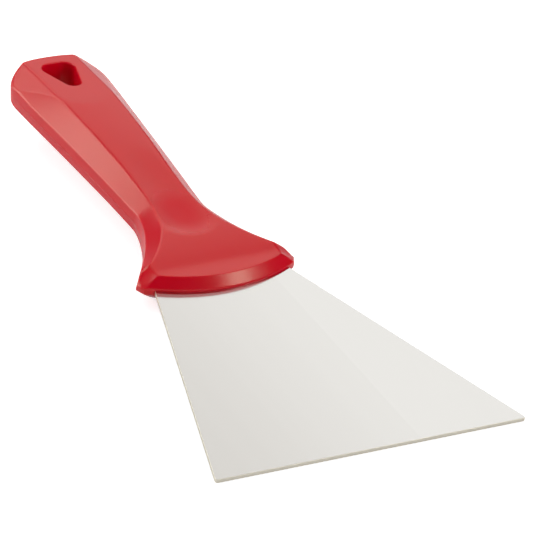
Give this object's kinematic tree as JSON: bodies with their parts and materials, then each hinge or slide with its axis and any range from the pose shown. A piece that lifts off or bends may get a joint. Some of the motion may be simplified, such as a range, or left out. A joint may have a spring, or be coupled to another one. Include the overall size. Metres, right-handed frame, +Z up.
{
  "type": "hand scraper",
  "caption": "Rigid hand scraper: a flat steel blade that tapers into a moulded plastic handle with a flared skirt, a thumb rest, a faceted grip and a hanging hole in its butt.",
  "frame": {"origin": "middle of the straight working edge, at half the blade's thickness", "axes": "+X along the working edge, +Y from the working edge to the butt of the handle, +Z up out of the blade's upper face"},
  "size_m": [0.0994, 0.2048, 0.0172],
  "materials": {
    "stainless_steel": "satin, finely ground sheet",
    "red_plastic": "satin injection-moulded polypropylene"
  },
  "bodies": {
    "root": {"blade": "stainless_steel", "handle": "red_plastic"}
  },
  "joints": []
}
